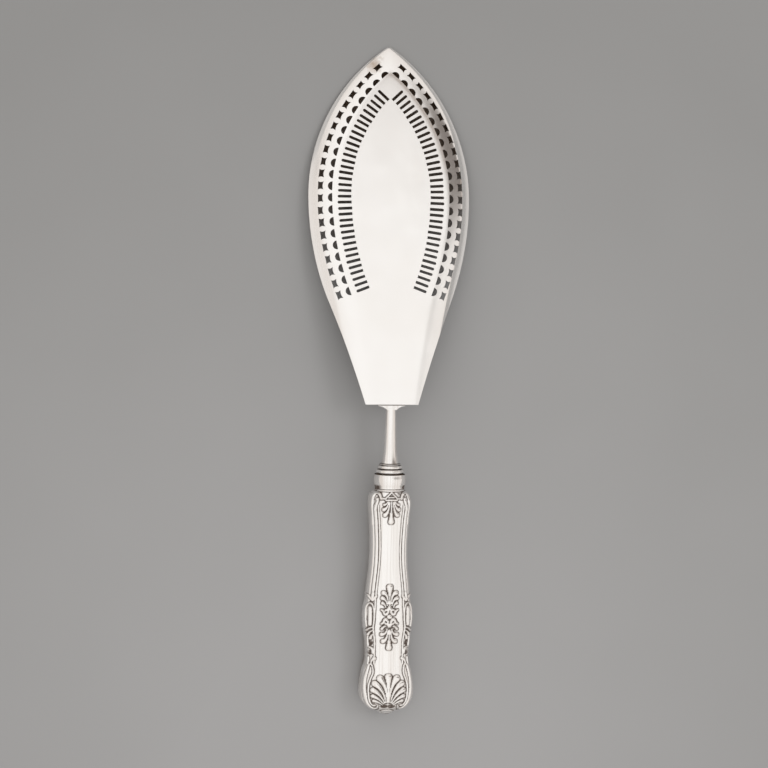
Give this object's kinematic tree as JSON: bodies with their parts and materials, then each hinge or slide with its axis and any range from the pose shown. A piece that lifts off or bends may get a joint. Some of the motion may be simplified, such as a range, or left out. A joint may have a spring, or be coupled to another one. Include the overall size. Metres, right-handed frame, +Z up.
{
  "type": "fish server",
  "caption": "Broad pointed blade with turned-down rim and pierced border, on a cast stem with a filled, ornamented handle.",
  "frame": {"origin": "middle of the bounding box, on the surface the server lies on", "axes": "+Z up, +Y along its length towards the tip of the blade, +X to the right"},
  "size_m": [0.08, 0.3287, 0.0242],
  "materials": {
    "sheet_silver": "hand-polished silver with fine scratches",
    "cast_silver": "polished cast silver",
    "stamped_silver": "worn silver, dark in its hollows",
    "cement": "matt brown cement"
  },
  "bodies": {
    "root": {"blade": "sheet_silver", "stem": "cast_silver", "handle_front": "stamped_silver", "handle_back": "stamped_silver", "handle_filling": "cement"}
  },
  "joints": []
}
